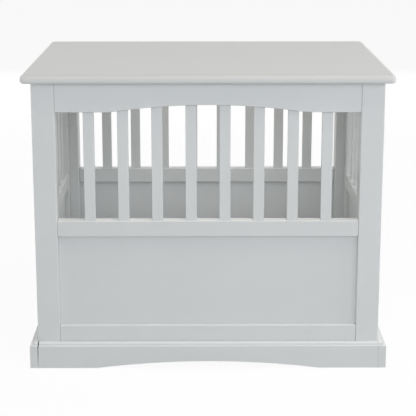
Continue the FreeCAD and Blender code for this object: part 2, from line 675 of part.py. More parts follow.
def leaf_plate(side, foot, play):
    """A leaf's flat plate beside the gap: side -1 on the post, +1 on the door."""
    wood = HINGE_AXIS_Y + side * DOOR_GAP / 2
    near = wood - side * HINGE_LEAF_PROUD
    far = near + side * (HINGE_LEAF_THICKNESS + play)
    ys = sorted((near, far))
    x0 = HINGE_AXIS_X - HINGE_LEAF_WIDTH - play
    x1 = HINGE_AXIS_X - HINGE_BARREL_RADIUS - HINGE_KNUCKLE_GAP
    if play:
        x1 = HINGE_AXIS_X
    return block(x0, x1, ys[0], ys[1], foot - play, foot + HINGE_HEIGHT + play)


def leaf_recess(side, foot):
    return leaf_plate(side, foot, HINGE_RECESS_FIT)


def knuckles(foot):
    """The three knuckles' limits in Z: the post leaf has the outer two, the door leaf the inner."""
    third = HINGE_HEIGHT / 3
    gap = HINGE_KNUCKLE_GAP / 2
    post = [(foot, foot + third - gap), (foot + 2 * third + gap, foot + HINGE_HEIGHT)]
    door = [(foot + third + gap, foot + 2 * third - gap)]
    return {-1: post, 1: door}


def hinge_screw_places(side, foot):
    """(seat, direction) of a leaf's three screws."""
    face = HINGE_AXIS_Y + side * (DOOR_GAP / 2 - HINGE_LEAF_PROUD)
    middle_x = (HINGE_AXIS_X - HINGE_BARREL_RADIUS + HINGE_AXIS_X - HINGE_LEAF_WIDTH) / 2
    return [(vec(middle_x, face, foot + HINGE_HEIGHT * part), Y_AXIS * side)
            for part in HINGE_SCREW_PARTS]


def hinge_leaf(side, foot):
    leaf = leaf_plate(side, foot, 0)
    fit = HINGE_FIXED_FIT if side < 0 else HINGE_RUNNING_FIT
    near = HINGE_AXIS_Y + side * (DOOR_GAP / 2 - HINGE_LEAF_PROUD)
    ys = sorted((near, near + side * HINGE_LEAF_THICKNESS))
    for low, high in knuckles(foot)[side]:
        barrel = rod(HINGE_BARREL_RADIUS, vec(HINGE_AXIS_X, HINGE_AXIS_Y, low), Z_AXIS, high - low)
        web = block(HINGE_AXIS_X - HINGE_BARREL_RADIUS - HINGE_KNUCKLE_GAP, HINGE_AXIS_X,
                    ys[0], ys[1], low, high)
        leaf = leaf.fuse([barrel, web])
    leaf = leaf.removeSplitter()
    bore = rod(HINGE_PIN_RADIUS + fit, vec(HINGE_AXIS_X, HINGE_AXIS_Y, foot - CUT_MARGIN), Z_AXIS,
               HINGE_HEIGHT + 2 * CUT_MARGIN)
    holes = [screw_hole(seat, way, HINGE_SCREW, True) for seat, way in hinge_screw_places(side, foot)]
    return leaf.cut([bore] + holes)


def hinge_pin(foot):
    pin = rod(HINGE_PIN_RADIUS, vec(HINGE_AXIS_X, HINGE_AXIS_Y, foot), Z_AXIS, HINGE_HEIGHT)
    head = rod(HINGE_PIN_RADIUS + HINGE_PIN_HEAD,
               vec(HINGE_AXIS_X, HINGE_AXIS_Y, foot + HINGE_HEIGHT), Z_AXIS, HINGE_PIN_HEAD)
    return pin.fuse(head).removeSplitter()


def hinge_cuts(side):
    """Recesses and screw holes in the wood on one side of the hinge gap."""
    cutters = []
    for foot in hinge_feet():
        cutters.append(leaf_recess(side, foot))
        cutters += [screw_hole(seat, way, HINGE_SCREW, True)
                    for seat, way in hinge_screw_places(side, foot)]
    return cutters


# --- slide bolt -----------------------------------------------------------------------------------
PLATE_Y1 = DOOR_HALF_WIDTH - LATCH_PLATE_END
FRONT_GUIDE_Y = DOOR_HALF_WIDTH - FRONT_GUIDE_SETBACK - GUIDE_LENGTH
KNOB_Y = FRONT_GUIDE_Y - KNOB_FRONT_ROOM - LATCH_TRAVEL
REAR_GUIDE_Y = KNOB_Y - KNOB_REAR_ROOM - GUIDE_LENGTH
PLATE_Y0 = REAR_GUIDE_Y - LATCH_PLATE_TAIL
BOLT_END_Y = DOOR_HALF_WIDTH - BOLT_SETBACK
KEEPER_Y = POST_INNER_Y + KEEPER_SET_IN


def latch_screw_places():
    places = []
    for y in (PLATE_Y0 + LATCH_SCREW_INSET, PLATE_Y1 - LATCH_SCREW_INSET):
        for side in (-1, 1):
            seat = vec(PLATE_TOP_X, y, LATCH_Z + side * LATCH_SCREW_SPACING / 2)
            places.append((seat, -X_AXIS))
    return places


def keeper_screw_places():
    seat_x = BODY_X + LATCH_PLATE_THICKNESS
    return [(vec(seat_x, KEEPER_Y + KEEPER_LENGTH / 2, LATCH_Z + side * KEEPER_SCREW_SPACING / 2), -X_AXIS)
            for side in (-1, 1)]


def staple(y0, length, base_x, outer_radius):
    """A round-topped loop that stands on a plate, before its hole is cut."""
    crown = rod(outer_radius, vec(BOLT_AXIS_X, y0, LATCH_Z), Y_AXIS, length)
    low = LATCH_Z - outer_radius
    high = LATCH_Z + outer_radius
    legs = block(base_x, BOLT_AXIS_X, y0, y0 + length, low, high)
    outside = block(BOLT_AXIS_X, BOLT_AXIS_X + outer_radius, y0, y0 + length, low, high)
    return crown.common(outside).fuse(legs)


def latch_plate():
    plate = block(DOOR_FACE_X, PLATE_TOP_X, PLATE_Y0, PLATE_Y1,
                  LATCH_Z - LATCH_PLATE_HEIGHT / 2, LATCH_Z + LATCH_PLATE_HEIGHT / 2)
    plate = eased(plate, LATCH_CORNER_RADIUS, X_AXIS)
    outer = BOLT_RADIUS + BOLT_RUNNING_FIT + GUIDE_WALL
    for y0 in (REAR_GUIDE_Y, FRONT_GUIDE_Y):
        plate = plate.fuse(staple(y0, GUIDE_LENGTH, DOOR_FACE_X + LATCH_PLATE_THICKNESS / 2, outer))
    plate = plate.removeSplitter()
    bore = rod(BOLT_RADIUS + BOLT_RUNNING_FIT, vec(BOLT_AXIS_X, PLATE_Y0 - BOLT_LENGTH, LATCH_Z),
               Y_AXIS, 3 * BOLT_LENGTH)
    holes = [screw_hole(seat, way, LATCH_SCREW, True) for seat, way in latch_screw_places()]
    return plate.cut([bore] + holes)


def latch_bolt():
    bolt = rod(BOLT_RADIUS, vec(BOLT_AXIS_X, BOLT_END_Y - BOLT_LENGTH, LATCH_Z), Y_AXIS, BOLT_LENGTH)
    rims = [edge for edge in bolt.Edges if edge.isClosed()]
    bolt = bolt.makeChamfer(BOLT_END_CHAMFER, rims)
    return bolt.cut(rod(KNOB_STEM_RADIUS + KNOB_FIT, vec(BOLT_AXIS_X, KNOB_Y, LATCH_Z),
                        X_AXIS, 2 * BOLT_RADIUS))


def latch_knob():
    """A turned knob: a stem screwed into the bolt, under a rounded head."""
    stem = rod(KNOB_STEM_RADIUS, vec(BOLT_AXIS_X, KNOB_Y, LATCH_Z), X_AXIS, KNOB_REACH - KNOB_STEM_COVER)
    head = rod(KNOB_HEAD_RADIUS, vec(BOLT_AXIS_X + KNOB_REACH - KNOB_HEAD_THICKNESS, KNOB_Y, LATCH_Z),
               X_AXIS, KNOB_HEAD_THICKNESS)
    rims = [edge for edge in head.Edges if edge.isClosed()]
    head = head.makeFillet(KNOB_ROUNDING, rims)
    return stem.fuse(head).removeSplitter()


def latch_keeper():
    low = LATCH_Z - KEEPER_HEIGHT / 2
    high = LATCH_Z + KEEPER_HEIGHT / 2
    plate = block(BODY_X, BODY_X + LATCH_PLATE_THICKNESS, KEEPER_Y, KEEPER_Y + KEEPER_LENGTH, low, high)
    plate = eased(plate, LATCH_CORNER_RADIUS, X_AXIS)
    outer = BOLT_RADIUS + KEEPER_HOLE_FIT + GUIDE_WALL
    loop = staple(KEEPER_Y, KEEPER_LENGTH, BODY_X + LATCH_PLATE_THICKNESS / 2, outer)
    bore = rod(BOLT_RADIUS + KEEPER_HOLE_FIT, vec(BOLT_AXIS_X, KEEPER_Y - CUT_MARGIN, LATCH_Z),
               Y_AXIS, KEEPER_LENGTH + 2 * CUT_MARGIN)
    holes = [screw_hole(seat, way, LATCH_SCREW, True) for seat, way in keeper_screw_places()]
    return plate.fuse(loop).removeSplitter().cut([bore] + holes)


# --- posts ----------------------------------------------------------------------------------------
def post(side_x, side_y):
    xs = sorted((side_x * POST_INNER_X, side_x * BODY_X))
    ys = sorted((side_y * POST_INNER_Y, side_y * BODY_Y))
    stick = block(xs[0], xs[1], ys[0], ys[1], 0, POST_TOP)
    stick = eased(stick, POST_EASING, Z_AXIS)
    return drilled(stick.cut(FRONT_GROOVE if side_y < 0 else BACK_GROOVE))


# --- assembly -------------------------------------------------------------------------------------
def build():
    """Every piece of the crate table, by the name of its node."""
    nodes = {}
    wall_screws = bracket_screw_places(True)
    top_screws = bracket_screw_places(False)
    wall_holes = [screw_hole(seat, way, BRACKET_SCREW, False) for seat, way in wall_screws]
    top_holes = [screw_hole(seat, way, BRACKET_SCREW, False) for seat, way in top_screws]
    back_top_holes = [turned(hole, BACK_TURN) for hole in top_holes]
    nodes["table_top"] = table_top().cut(top_holes + back_top_holes)

    nodes["post_front_left"] = post(-1, -1)
    nodes["post_front_right"] = cut_by(post(1, -1), hinge_cuts(-1))
    nodes["post_back_left"] = post(-1, 1)
    keeper_holes = [screw_hole(seat, way, LATCH_SCREW, True) for seat, way in keeper_screw_places()]
    nodes["post_back_right"] = cut_by(post(1, 1), keeper_holes)

    cleat_holes = [screw_hole(seat, way, CLEAT_SCREW, True) for seat, way in cleat_screw_places()]
    long_wall = {
        "top_rail": drilled(arched_top_rail().cut(wall_holes)),
        "mid_rail": drilled(front_mid_rail()),
        "bottom_rail": drilled(front_bottom_rail().cut(cleat_holes)),
        "panel": panel(POST_INNER_X, BODY_Y),
    }
    for name, piece in long_wall.items():
        nodes["front_" + name] = piece
        nodes["back_" + name] = turned(piece, BACK_TURN)
    front_slats = wall_slats(FRONT_SLAT_CENTRES, BODY_Y, FRONT_SLAT_TOP)
    for number, piece in enumerate(front_slats, 1):
        nodes["front_slat_%d" % number] = piece
    nodes["back_slats"] = [turned(piece, BACK_TURN) for piece in front_slats]

    left = end_frame(POST_INNER_Y, STILE_WIDTH + DOOR_GAP, BOTTOM_RAIL_FOOT, POST_TOP,
                     TOP_RAIL_FOOT, RAIL_THICKNESS)
    left_names = {"stile_left": "stile_back", "stile_right": "stile_front"}
    for name, piece in left.items():
        if name == "slats":
            nodes["left_slats"] = [turned(one, LEFT_TURN) for one in piece]
        else:
            nodes["left_" + left_names.get(name, name)] = drilled(turned(piece, LEFT_TURN))

    door = end_frame(DOOR_HALF_WIDTH, STILE_WIDTH, DOOR_FOOT, DOOR_TOP, TOP_RAIL_FOOT, DOOR_THICKNESS)
    door_names = {"stile_left": "hinge_stile", "stile_right": "latch_stile"}
    door_cuts = [screw_hole(seat, way, LATCH_SCREW, True) for seat, way in latch_screw_places()]
    door_cuts += hinge_cuts(1)
    for name, piece in door.items():
        if name == "slats":
            for number, one in enumerate(piece, 1):
                nodes["door_slat_%d" % number] = cut_by(turned(one, RIGHT_TURN), door_cuts)
        else:
            nodes["door_" + door_names.get(name, name)] = cut_by(turned(piece, RIGHT_TURN), door_cuts)

    nodes["door_header"] = drilled(door_header())
    nodes["door_sill"] = drilled(door_sill())
    nodes["door_stop"] = door_stop()

    nodes["plinth_front"] = front_plinth()
    nodes["plinth_back"] = turned(nodes["plinth_front"], BACK_TURN)
    nodes["plinth_left"] = side_plinth()
    nodes["plinth_right"] = turned(nodes["plinth_left"], BACK_TURN)

    nodes["floor_panel"] = floor_panel()
    nodes["floor_cleats"] = [front_cleat(), turned(front_cleat(), BACK_TURN)]
    brackets = front_brackets()
    nodes["top_brackets"] = brackets + [turned(one, BACK_TURN) for one in brackets]

    nodes["hinge_post_leaves"] = [hinge_leaf(-1, foot) for foot in hinge_feet()]
    nodes["hinge_door_leaves"] = [hinge_leaf(1, foot) for foot in hinge_feet()]
    nodes["hinge_pins"] = [hinge_pin(foot) for foot in hinge_feet()]
    nodes["latch_plate"] = latch_plate()
    nodes["latch_bolt"] = latch_bolt()
    nodes["latch_knob"] = latch_knob()
    nodes["latch_keeper"] = latch_keeper()

    front_screws = [pan_screw(seat, way, BRACKET_SCREW) for seat, way in wall_screws + top_screws]
    front_screws += [countersunk_screw(seat, way, CLEAT_SCREW) for seat, way in cleat_screw_places()]
    frame_screws = front_screws + [turned(one, BACK_TURN) for one in front_screws]
    door_screws = [countersunk_screw(seat, way, LATCH_SCREW) for seat, way in latch_screw_places()]
    for foot in hinge_feet():
        frame_screws += [countersunk_screw(seat, way, HINGE_SCREW)
                         for seat, way in hinge_screw_places(-1, foot)]
        door_screws += [countersunk_screw(seat, way, HINGE_SCREW)
                        for seat, way in hinge_screw_places(1, foot)]
    frame_screws += [countersunk_screw(seat, way, LATCH_SCREW) for seat, way in keeper_screw_places()]
    nodes["frame_screws"] = frame_screws
    nodes["door_screws"] = door_screws
    nodes["dowels"] = [dowel(point, direction) for point, direction in DOWEL_PLACES]
    return nodes


os.makedirs("parts", exist_ok=True)
for node_name, node_shape in build().items():
    if isinstance(node_shape, list):
        node_shape = Part.makeCompound(node_shape)
    node_shape.exportStep("parts/%s.step" % node_name)
    print("%-20s solids %2d  volume %10.1f" % (node_name, len(node_shape.Solids), node_shape.Volume))
print("hinge axis at x = %.2f, y = %.2f" % (HINGE_AXIS_X, HINGE_AXIS_Y))
print("bolt axis at x = %.2f, z = %.2f" % (BOLT_AXIS_X, LATCH_Z))
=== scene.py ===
# %% [markdown]
# # Dog crate end table
# A slatted, panelled crate under a table top, painted a pale cool grey. The solids come from the packed
# CAD model. This lesson gives them their finishes, models the small turned metal pieces and the table
# top's rounded edge again with more care, and sets up a plain studio around them.

# %% The frame
import bmesh
import bpy
import math
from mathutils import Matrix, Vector


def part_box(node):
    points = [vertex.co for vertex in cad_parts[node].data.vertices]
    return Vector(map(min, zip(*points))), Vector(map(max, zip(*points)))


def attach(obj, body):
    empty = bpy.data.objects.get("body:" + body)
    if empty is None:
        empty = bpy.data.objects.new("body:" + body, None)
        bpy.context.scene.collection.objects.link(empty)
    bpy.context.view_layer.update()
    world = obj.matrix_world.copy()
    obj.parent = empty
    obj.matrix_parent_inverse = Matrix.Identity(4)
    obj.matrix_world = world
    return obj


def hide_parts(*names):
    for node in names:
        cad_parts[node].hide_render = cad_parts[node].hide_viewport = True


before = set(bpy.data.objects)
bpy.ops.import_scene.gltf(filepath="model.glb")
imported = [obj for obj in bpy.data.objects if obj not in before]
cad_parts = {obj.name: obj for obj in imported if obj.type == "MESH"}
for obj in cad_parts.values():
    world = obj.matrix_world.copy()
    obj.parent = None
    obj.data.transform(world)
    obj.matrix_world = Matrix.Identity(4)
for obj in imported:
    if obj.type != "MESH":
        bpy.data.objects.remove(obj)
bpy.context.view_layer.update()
MM = 0.001


# %% [markdown]
# ## Helpers for the finishes
# Paint charts and metal samples are read as sRGB hex values, but Blender's sockets want linear light, so
# one function converts them. A second small function adds a node, sets it up and links it, which keeps
# each finish below readable from top to bottom. A Mix node has sockets for every kind of data that it can
# mix, several of them with the same name, so those for colours are reached by number.

# %% Colour and node helpers
SHARE, COLOUR_A, COLOUR_B = 0, 6, 7      # a Mix node's inputs, when it mixes colours
MIXED = 2                                # and its output
ALONG_X, ALONG_Y, ALONG_Z = 0, 1, 2      # the direction of a grain, or of a lathe's axis


def paint_colour(hex_value):
    """An sRGB hex value as linear RGBA."""
    parts = [int(hex_value[i:i + 2], 16) / 255 for i in (1, 3, 5)]
    return [p / 12.92 if p <= 0.04045 else ((p + 0.055) / 1.055) ** 2.4 for p in parts] + [1.0]


def add_node(tree, kind, inputs=None, **settings):
    """Add a node with its settings; an input is a value or the socket that feeds it."""
    node = tree.nodes.new(kind)
    for key, value in settings.items():
        setattr(node, key, value)
    for key, value in (inputs or {}).items():
        if isinstance(value, bpy.types.NodeSocket):
            tree.links.new(value, node.inputs[key])
        else:
            node.inputs[key].default_value = value
    return node


def new_finish(name):
    """An empty material, its node tree and its output node."""
    material = bpy.data.materials.new(name)
    material.use_nodes = True
    tree = material.node_tree
    tree.nodes.clear()
    return material, tree, add_node(tree, "ShaderNodeOutputMaterial")


print("sRGB #808080 in linear light:", round(paint_colour("#808080")[0], 3))


# %% [markdown]
# ## Painted pine
# The posts, rails, stiles and slats are pine, sprayed with a satin lacquer. The grain still shows
# through such a coat as long, very shallow ridges, and the spray leaves a fine orange peel over them. On
# the sharp edges the coat pulls thin and looks a little lighter, and a painted highlight adds to that.
# What faces up is painted paler: a painted highlight, as if lit from above. In the joints and under the
# edges lies a dark line: partly dust, partly painted shade. A picture of
# wood would fix one direction for everything, so the ridges are a noise pattern, stretched along each
# piece's own length, and the edges, ledges and joints are found from the shape itself: a Bevel node
# gives the normal that a rounded corner would have, and an Ambient Occlusion node how closed in a point is.

# %% The coat's colour, found from the shape under it
EDGE_RADIUS = 1.1 * MM
EDGE_MATCH = (0.995, 0.75)     # how well the rounded and the flat normal agree: no edge yet, a full edge
EDGE_WEAR_AND_HIGHLIGHT_SHARE = 0.5               # how far a full edge goes to the pale colour: a thin coat, and a painted highlight
LEDGE_HIGHLIGHT_TURN = (0.2, 0.8)        # the upward part of the normal: no painted highlight yet, a full one
LEDGE_HIGHLIGHT_SHARE = 0.6              # how far a full ledge goes to the pale colour: a painted highlight
SHADE_LEAN_UP = 0.8               # how far the normal leans up, so that what faces up gets no painted shade
JOINT_REACH = 2.4 * MM         # a groove narrower than this counts as a joint, and gets dust and painted shade
JOINT_OPENNESS = (0.58, 0.40)  # how open a point is: none of the dust and shade yet, all of it
# one colour for the dust in the joints and the painted shade under the edges and in the recesses
DUST_AND_SHADE_COLOUR = "#66574b"
EDGE_SAMPLES, JOINT_SAMPLES = 4, 8


def coat_colour(tree, ground, light, ledge_highlight):
    """The coat over its ground colour: pale on edges and ledges, with dust and painted shade in the joints.
    """
    # an edge is where the normal of a rounded corner leaves the face's own normal
    # the pale colour there is partly a thin coat, partly a painted highlight
    corner = add_node(tree, "ShaderNodeBevel", {"Radius": EDGE_RADIUS}, samples=EDGE_SAMPLES)
    face = add_node(tree, "ShaderNodeNewGeometry")
    match = add_node(tree, "ShaderNodeVectorMath", {0: corner.outputs["Normal"], 1: face.outputs["Normal"]},
                     operation="DOT_PRODUCT")
    edge = add_node(tree, "ShaderNodeMapRange",
                    {"Value": match.outputs["Value"], "From Min": EDGE_MATCH[0], "From Max": EDGE_MATCH[1],
                     "To Min": 0.0, "To Max": EDGE_WEAR_AND_HIGHLIGHT_SHARE})
    # what faces up gets a painted highlight, as if lit from above
    turned = add_node(tree, "ShaderNodeSeparateXYZ", {0: corner.outputs["Normal"]})
    painted_ledge_highlight = add_node(tree, "ShaderNodeMapRange",
                      {"Value": turned.outputs["Z"], "From Min": LEDGE_HIGHLIGHT_TURN[0], "From Max": LEDGE_HIGHLIGHT_TURN[1],
                       "To Min": 0.0, "To Max": ledge_highlight})
    pale = add_node(tree, "ShaderNodeMath", {0: edge.outputs["Result"], 1: painted_ledge_highlight.outputs["Result"]},
                    operation="MAXIMUM")
    coat = add_node(tree, "ShaderNodeMix", {SHARE: pale.outputs[0], COLOUR_A: ground,
                                            COLOUR_B: paint_colour(light)}, data_type="RGBA")
    # how closed in a point is, looked at from a normal that leans up: under an edge and in a crack there
    # is a line of dust and painted shade, while a ledge stays clear of it
    lean = add_node(tree, "ShaderNodeVectorMath", {0: face.outputs["Normal"], 1: (0.0, 0.0, SHADE_LEAN_UP)},
                    operation="ADD")
    lean = add_node(tree, "ShaderNodeVectorMath", {0: lean.outputs[0]}, operation="NORMALIZE")
    nook = add_node(tree, "ShaderNodeAmbientOcclusion", {"Distance": JOINT_REACH, "Normal": lean.outputs[0]},
                    samples=JOINT_SAMPLES)
    dust_and_shade = add_node(tree, "ShaderNodeMapRange",
                    {"Value": nook.outputs["AO"], "From Min": JOINT_OPENNESS[0],
                     "From Max": JOINT_OPENNESS[1], "To Min": 0.0, "To Max": 1.0})
    dusty_and_shaded = add_node(tree, "ShaderNodeMix", {SHARE: dust_and_shade.outputs["Result"], COLOUR_A: coat.outputs[MIXED],
                                             COLOUR_B: paint_colour(DUST_AND_SHADE_COLOUR)}, data_type="RGBA")
    return dusty_and_shaded.outputs[MIXED]


# %% The coat's relief
PEEL_SIZE = 1.6 * MM
PEEL_DEPTH = 0.05 * MM
PEEL_STRENGTH = 0.16
GRAIN_LENGTH = 170 * MM
GRAIN_WIDTH = 4.5 * MM         # real ridges are 1 to 2 mm; drawn coarser so that they show at all
GRAIN_DEPTH = 0.18 * MM
GRAIN_STRENGTH = 0.35


def coat_relief(tree, place, grain_axis):
    """The peel of the spray, and ridges of grain under it where an axis is given."""
    peel = add_node(tree, "ShaderNodeTexNoise", {"Vector": place, "Scale": 1 / PEEL_SIZE, "Detail": 1.0})
    height = add_node(tree, "ShaderNodeBump", {"Height": peel.outputs["Fac"], "Strength": PEEL_STRENGTH,
                                               "Distance": PEEL_DEPTH})
    if grain_axis is not None:
        stretch = [1 / GRAIN_WIDTH] * 3
        stretch[grain_axis] = 1 / GRAIN_LENGTH
        along = add_node(tree, "ShaderNodeMapping", {"Vector": place, "Scale": stretch})
        ridges = add_node(tree, "ShaderNodeTexNoise", {"Vector": along.outputs["Vector"], "Scale": 1.0,
                                                       "Detail": 3.0, "Distortion": 0.3})
        height = add_node(tree, "ShaderNodeBump",
                          {"Height": ridges.outputs["Fac"], "Strength": GRAIN_STRENGTH,
                           "Distance": GRAIN_DEPTH, "Normal": height.outputs["Normal"]})
    return height.outputs["Normal"]


# %% Painted pine, one finish for each direction of the grain
DRIFT_SIZE = 90 * MM           # the colour and the sheen drift very slightly over a hand's width
SHEEN_DRIFT = (-0.04, 0.05)
LACQUER_IOR = 1.5
LACQUER_SPECULAR = 0.42


def sprayed_paint(name, colour, light, dark, rough, grain_axis=None, ledge_highlight=LEDGE_HIGHLIGHT_SHARE):
    """A sprayed satin coat, over ridges of grain where an axis is given."""
    material, tree, output = new_finish(name)
    place = add_node(tree, "ShaderNodeTexCoord").outputs["Object"]
    drift = add_node(tree, "ShaderNodeTexNoise", {"Vector": place, "Scale": 1 / DRIFT_SIZE, "Detail": 2.0})
    ground = add_node(tree, "ShaderNodeMix", {SHARE: drift.outputs["Fac"], COLOUR_A: paint_colour(dark),
                                              COLOUR_B: paint_colour(colour)}, data_type="RGBA")
    sheen = add_node(tree, "ShaderNodeMapRange",
                     {"Value": drift.outputs["Fac"], "To Min": rough + SHEEN_DRIFT[0],
                      "To Max": rough + SHEEN_DRIFT[1]})
    surface = add_node(tree, "ShaderNodeBsdfPrincipled",
                       {"Base Color": coat_colour(tree, ground.outputs[MIXED], light, ledge_highlight),
                        "Roughness": sheen.outputs["Result"],
                        "Normal": coat_relief(tree, place, grain_axis),
                        "IOR": LACQUER_IOR, "Specular IOR Level": LACQUER_SPECULAR})
    tree.links.new(surface.outputs["BSDF"], output.inputs["Surface"])
    return material


pine = [sprayed_paint("sprayed_pine_" + letter, colour="#d8dada", light="#f1f2f2", dark="#d2d5d5",
                      rough=0.42, grain_axis=axis)
        for axis, letter in ((ALONG_X, "x"), (ALONG_Y, "y"), (ALONG_Z, "z"))]
print("painted pine:", [material.name for material in pine])


# %% [markdown]
# ## Painted fibreboard and the table top
# The panels, floor and plinth are fibreboard: no grain, only the peel of the spray. The table top is
# the same board, but it gets one more coat, rubbed down between, so it is smoother and more neutral. Its
# colour is a shade darker too: painted shade that tempers the stronger light on the top. All of it faces
# up, so the painted highlight of a ledge is left out there.

# %% Painted fibreboard
fibreboard = sprayed_paint("sprayed_fibreboard", colour="#d7d9d9", light="#f0f1f1", dark="#d1d4d4",
                           rough=0.45)
# the table coat's darker colour is painted shade against the stronger light on the top
table_coat = sprayed_paint("rubbed_down_table_coat", colour="#d5d6d5", light="#e4e5e5", dark="#d0d1d0",
                           rough=0.38, ledge_highlight=0.0)
print("painted fibreboard:", fibreboard.name, table_coat.name)


# %% [markdown]
# ## Metals and beech
# The slide bolt and hinges are steel, plated with nickel and brushed to a satin: a grey with a warm
# cast, and fine scratches in one direction. The screws and brackets are zinc plated, paler and cooler,
# with the faint mottle of the plating. The dowels are bare beech; only a sliver of them could ever show.

# %% Plated steel
SCRATCH_WIDTH = 0.35 * MM
SCRATCH_STRETCH = (1, 0.06, 1)       # along Y
ZINC_MOTTLE = 2.5 * MM
EVEN = (1, 1, 1)
GLOSS_DRIFT = (-0.07, 0.09)
PLATING_DEPTH = 0.02 * MM
PLATING_STRENGTH = 0.12


def plated_steel(name, colour, mottled, rough, mottle_size, stretch):
    """Plated steel: two close tones in a stretched or even mottle, which also roughens it."""
    material, tree, output = new_finish(name)
    place = add_node(tree, "ShaderNodeTexCoord").outputs["Object"]
    laid = add_node(tree, "ShaderNodeMapping", {"Vector": place, "Scale": stretch})
    mottle = add_node(tree, "ShaderNodeTexNoise", {"Vector": laid.outputs["Vector"],
                                                   "Scale": 1 / mottle_size, "Detail": 3.0})
    tone = add_node(tree, "ShaderNodeMix", {SHARE: mottle.outputs["Fac"], COLOUR_A: paint_colour(mottled),
                                            COLOUR_B: paint_colour(colour)}, data_type="RGBA")
    gloss = add_node(tree, "ShaderNodeMapRange",
                     {"Value": mottle.outputs["Fac"], "To Min": rough + GLOSS_DRIFT[0],
                      "To Max": rough + GLOSS_DRIFT[1]})
    relief = add_node(tree, "ShaderNodeBump", {"Height": mottle.outputs["Fac"], "Strength": PLATING_STRENGTH,
                                               "Distance": PLATING_DEPTH})
    surface = add_node(tree, "ShaderNodeBsdfPrincipled",
                       {"Base Color": tone.outputs[MIXED], "Roughness": gloss.outputs["Result"],
                        "Normal": relief.outputs["Normal"], "Metallic": 1.0})
    tree.links.new(surface.outputs["BSDF"], output.inputs["Surface"])
    return material


satin_nickel = plated_steel("brushed_satin_nickel", colour="#c8c3b9", mottled="#b7b2a8", rough=0.30,
                            mottle_size=SCRATCH_WIDTH, stretch=SCRATCH_STRETCH)
zinc_plate = plated_steel("bright_zinc_plating", colour="#c9cdcf", mottled="#b4b9bc", rough=0.40,
                          mottle_size=ZINC_MOTTLE, stretch=EVEN)
print("plated steel:", satin_nickel.name, zinc_plate.name)


# %% Bare beech
FLECK_SIZE = 1.2 * MM
FLECK_STRETCH = (0.3, 1.0, 1.0)
BEECH_ROUGHNESS = 0.62


def bare_beech(name):
    """Beech end and side grain: short dark flecks on a pinkish ground."""
    material, tree, output = new_finish(name)
    place = add_node(tree, "ShaderNodeTexCoord").outputs["Object"]
    laid = add_node(tree, "ShaderNodeMapping", {"Vector": place, "Scale": FLECK_STRETCH})
    flecks = add_node(tree, "ShaderNodeTexNoise", {"Vector": laid.outputs["Vector"],
                                                   "Scale": 1 / FLECK_SIZE, "Detail": 4.0})
    tone = add_node(tree, "ShaderNodeMix", {SHARE: flecks.outputs["Fac"], COLOUR_A: paint_colour("#b08a63"),
                                            COLOUR_B: paint_colour("#d3b08a")}, data_type="RGBA")
    surface = add_node(tree, "ShaderNodeBsdfPrincipled", {"Base Color": tone.outputs[MIXED],
                                                          "Roughness": BEECH_ROUGHNESS})
    tree.links.new(surface.outputs["BSDF"], output.inputs["Surface"])
    return material


beech = bare_beech("bare_beech")
print("wood without paint:", beech.name)


# %% [markdown]
# ## Giving every node its finish
# Each timber piece takes the pine whose grain runs along it. A node of several slats is wider than it is
# tall, although its slats stand upright, so the direction follows from the kind of piece, not its box.

# %% Finishes on the nodes
METAL_FITTINGS = ("hinge_post_leaves", "hinge_door_leaves", "hinge_pins", "latch_plate", "latch_bolt",
                  "latch_knob", "latch_keeper")
PLATED_FIXINGS = ("frame_screws", "door_screws", "top_brackets")


def finish_for(name):
    """The finish of a CAD node, from its name."""
    if name == "table_top":
        return table_coat
    if name in METAL_FITTINGS:
        return satin_nickel
    if name in PLATED_FIXINGS:
        return zinc_plate
    if name == "dowels":
        return beech
    if "panel" in name or name.startswith("plinth"):
        return fibreboard
    if name.startswith("post") or "slat" in name or "stile" in name:
        return pine[ALONG_Z]
    if name.startswith(("left_", "door_")):
        return pine[ALONG_Y]
    return pine[ALONG_X]


counts = {}
for name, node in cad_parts.items():
    finish = finish_for(name)
    node.data.materials.clear()
    node.data.materials.append(finish)
    for polygon in node.data.polygons:
        polygon.material_index = 0
    counts[finish.name] = counts.get(finish.name, 0) + 1
print("nodes by finish:", counts)


# %% [markdown]
# ## Turned metal pieces
# The knob, the bolt and the hinge pins come off a lathe. In the CAD they are plain rods with a broken
# edge. A lathe leaves soft, flowing outlines, so each is drawn once as half a profile and spun round its
# own axis. A curve with a bevel could do it too, but spinning keeps the real radii in one short list.

# %% A turned piece from its half profile
TURNED_STEPS = 40
MERGE_WITHIN = 0.002 * MM


def turned_piece(name, profiles, axis, body, node, finish):
    """Spin half profiles round axis lines. A profile is (start point, [(along, radius), ...]) in mm."""
    bm = bmesh.new()
    direction = Vector([1.0 if number == axis else 0.0 for number in range(3)])
    outward = Vector([1.0 if number == (axis + 1) % 3 else 0.0 for number in range(3)])
    for start, outline in profiles:
        foot = Vector(start) * MM
        chain = [bm.verts.new(foot + direction * (along * MM) + outward * (radius * MM))
                 for along, radius in outline]
        edges = [bm.edges.new(pair) for pair in zip(chain, chain[1:])]
        bmesh.ops.spin(bm, geom=chain + edges, cent=foot, axis=direction, angle=math.tau,
                       steps=TURNED_STEPS, use_merge=True, use_duplicate=False)
    bmesh.ops.remove_doubles(bm, verts=bm.verts, dist=MERGE_WITHIN)
    bmesh.ops.recalc_face_normals(bm, faces=bm.faces)
    for face in bm.faces:
        face.smooth = True
    mesh = bpy.data.meshes.new(name)
    bm.to_mesh(mesh)
    bm.free()
    piece = bpy.data.objects.new(name, mesh)
    bpy.context.scene.collection.objects.link(piece)
    piece.data.materials.append(finish)
    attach(piece, body)
    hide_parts(node)
    print(name, "faces:", len(mesh.polygons), "size mm:", [round(v / MM, 2) for v in piece.dimensions])


def node_limits(name):
    """A node's lowest and highest corner, in mm."""
    low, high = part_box(name)
    return [v / MM for v in low], [v / MM for v in high]


# %% Knob: a stem that flares into a rounded head with a slightly dished face
KNOB_STEM = [(0.0, 0.0), (0.0, 1.8)]
